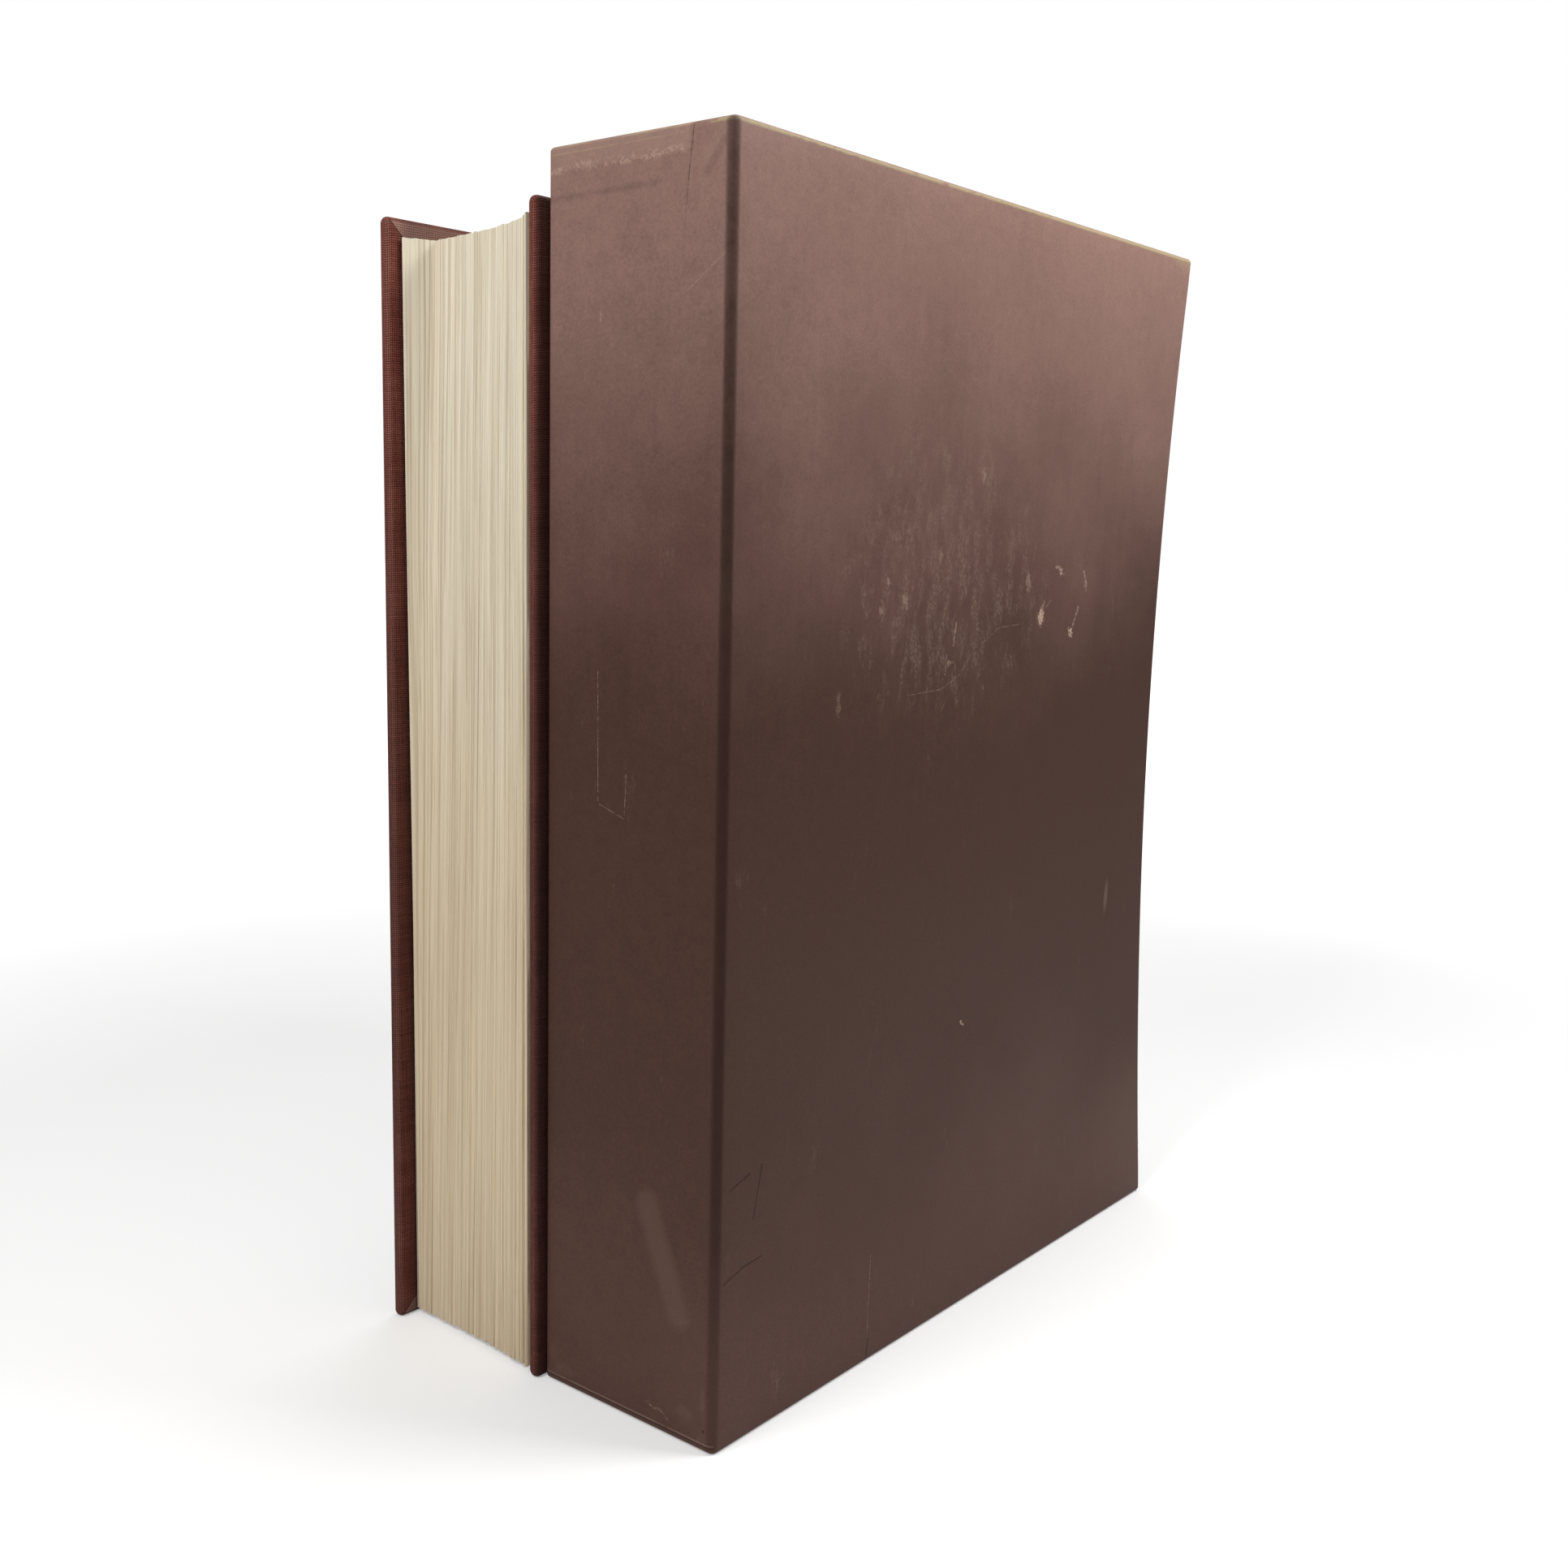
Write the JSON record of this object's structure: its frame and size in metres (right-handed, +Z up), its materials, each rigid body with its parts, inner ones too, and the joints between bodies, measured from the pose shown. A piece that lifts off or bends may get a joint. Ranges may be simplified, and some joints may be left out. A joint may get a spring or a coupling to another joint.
{
  "type": "slipcased book",
  "caption": "Thick cloth-bound book with rounded spine and hollow fore-edge, standing beside its paper-covered board slipcase.",
  "frame": {"origin": "under the middle of the outline of the book and slipcase, on the surface they stand on", "axes": "+Z up along the spine, +X across the covers from the book to the slipcase, +Y from the fore-edge to the spine and the slipcase's mouth"},
  "size_m": [0.1006, 0.1976, 0.267],
  "materials": {
    "leaves": "uncoated cream book paper, cut edges",
    "book_cloth": "rust-brown plain-weave buckram",
    "board": "grey binder's board",
    "mull": "open starched cotton",
    "bands": "woven head band",
    "slipcase_paper": "brown semi-gloss covering paper, rubbed and scuffed"
  },
  "bodies": {
    "back_cover": {"back_board": "board", "back_cloth": "book_cloth", "back_pastedown": "leaves", "slipcase_left_board": "board", "slipcase_right_board": "board", "slipcase_back_board": "board", "slipcase_top_board": "board", "slipcase_bottom_board": "board", "slipcase_wrap": "slipcase_paper", "slipcase_head_strip": "slipcase_paper", "slipcase_tail_strip": "slipcase_paper"},
    "text_block": {"text_block": "leaves", "front_flyleaf": "leaves", "back_flyleaf": "leaves", "spine_mull": "mull", "spine_lining": "board", "head_band": "bands", "tail_band": "bands", "spine_inlay": "board", "spine_cloth": "book_cloth"},
    "front_cover": {"front_board": "board", "front_cloth": "book_cloth", "front_pastedown": "leaves"}
  },
  "joints": [
    {"name": "back_joint", "type": "hinge", "parent": "back_cover", "child": "text_block", "pos_m": [-0.00543, 0.08521, 0.1285], "axis": [0, 0, -1], "range_deg": [0, 45]},
    {"name": "front_joint", "type": "hinge", "parent": "text_block", "child": "front_cover", "pos_m": [-0.04538, 0.08521, 0.1285], "axis": [0, 0, -1], "range_deg": [0, 175]}
  ]
}
